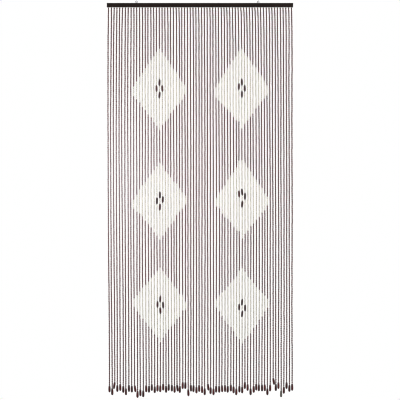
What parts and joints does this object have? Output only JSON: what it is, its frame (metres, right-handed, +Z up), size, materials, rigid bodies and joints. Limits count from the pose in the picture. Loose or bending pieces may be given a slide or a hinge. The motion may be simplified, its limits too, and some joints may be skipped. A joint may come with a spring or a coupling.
{
  "type": "bead curtain with bar",
  "caption": "Door curtain of threaded wooden beads with cream diamonds on dark brown, hanging from a slim dark wood bar with two screw eyes.",
  "frame": {"origin": "middle of the bar's top edge, between the screw eyes", "axes": "+Z up, along the hanging strings; +X along the bar; +Y out of the bar's back, so the front faces -Y"},
  "size_m": [0.9, 0.012, 1.9192],
  "materials": {
    "dark_wood": "near-black stained wood, satin",
    "zinc_wire": "zinc plated, satin",
    "brown_beads": "reddish dark brown stained wood, satin lacquer",
    "cream_beads": "bleached cream wood, satin lacquer",
    "thread": "twisted brown thread, matt"
  },
  "bodies": {
    "root": {"bar": "dark_wood", "screw_eye_1": "zinc_wire", "screw_eye_2": "zinc_wire", "bead_strings": "brown_beads"}
  },
  "joints": []
}
